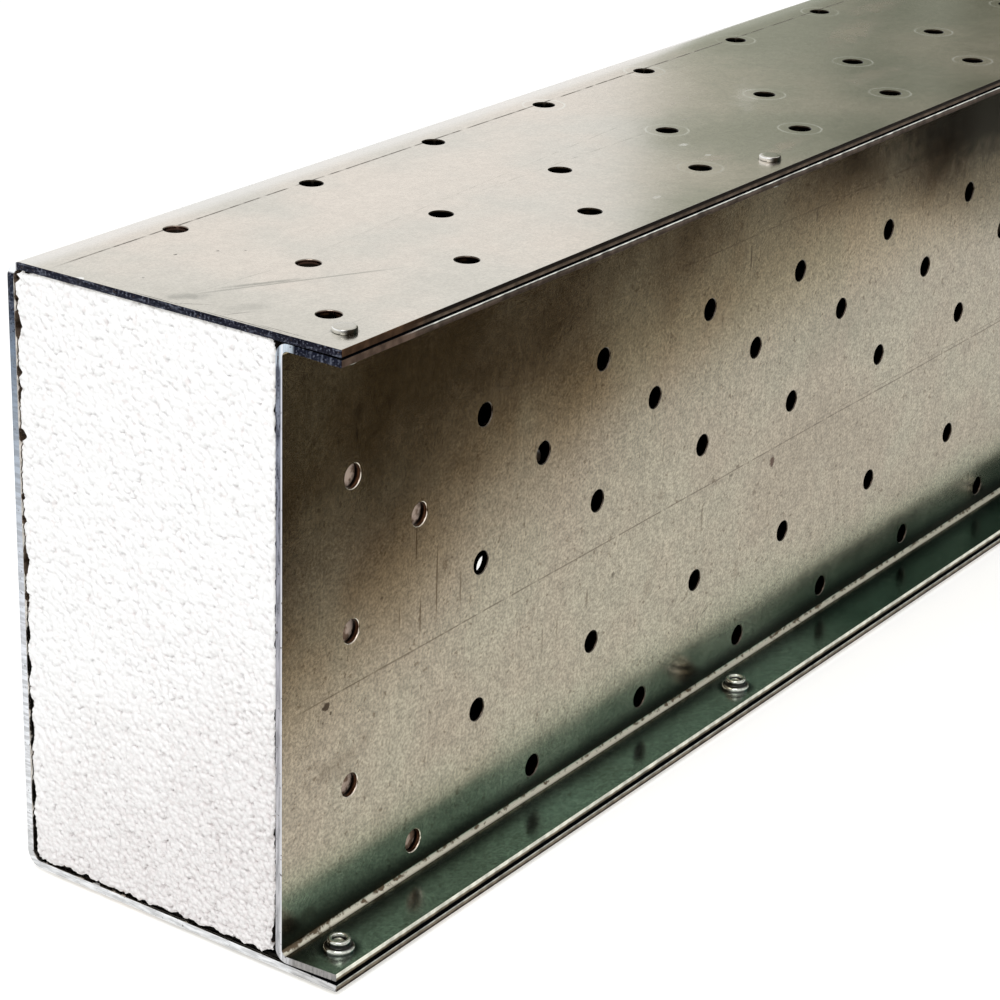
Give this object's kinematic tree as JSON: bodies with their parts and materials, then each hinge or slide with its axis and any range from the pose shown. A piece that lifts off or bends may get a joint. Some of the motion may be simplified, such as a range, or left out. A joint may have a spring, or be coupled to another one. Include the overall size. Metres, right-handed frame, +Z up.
{
  "type": "steel box lintel",
  "caption": "Perforated galvanised steel box lintel: bent C-shaped sheet closed by a riveted web channel, with foam plugs in its ends.",
  "frame": {"origin": "centre of the overall box in plan, at the level of the rivet heads under the bottom plate that the lintel stands on", "axes": "X along the length, -Y out of the open recess between the flanges, +Y out of the back wall, +Z up"},
  "size_m": [1.2, 0.1332, 0.2184],
  "materials": {
    "galvanised_sheet": "bright hot-dip zinc coat, satin, finely streaked",
    "galvanised_web": "weathered zinc coat, satin, vertical streaks",
    "rivet_steel": "bright zinc plate",
    "collar_steel": "bright zinc plate",
    "bead_foam": "expanded bead foam, cut face"
  },
  "bodies": {
    "root": {"box_section": "galvanised_sheet", "web_channel": "galvanised_web", "rivet_pins": "rivet_steel", "rivet_collars": "collar_steel", "foam_plug_near": "bead_foam", "foam_plug_far": "bead_foam"}
  },
  "joints": []
}
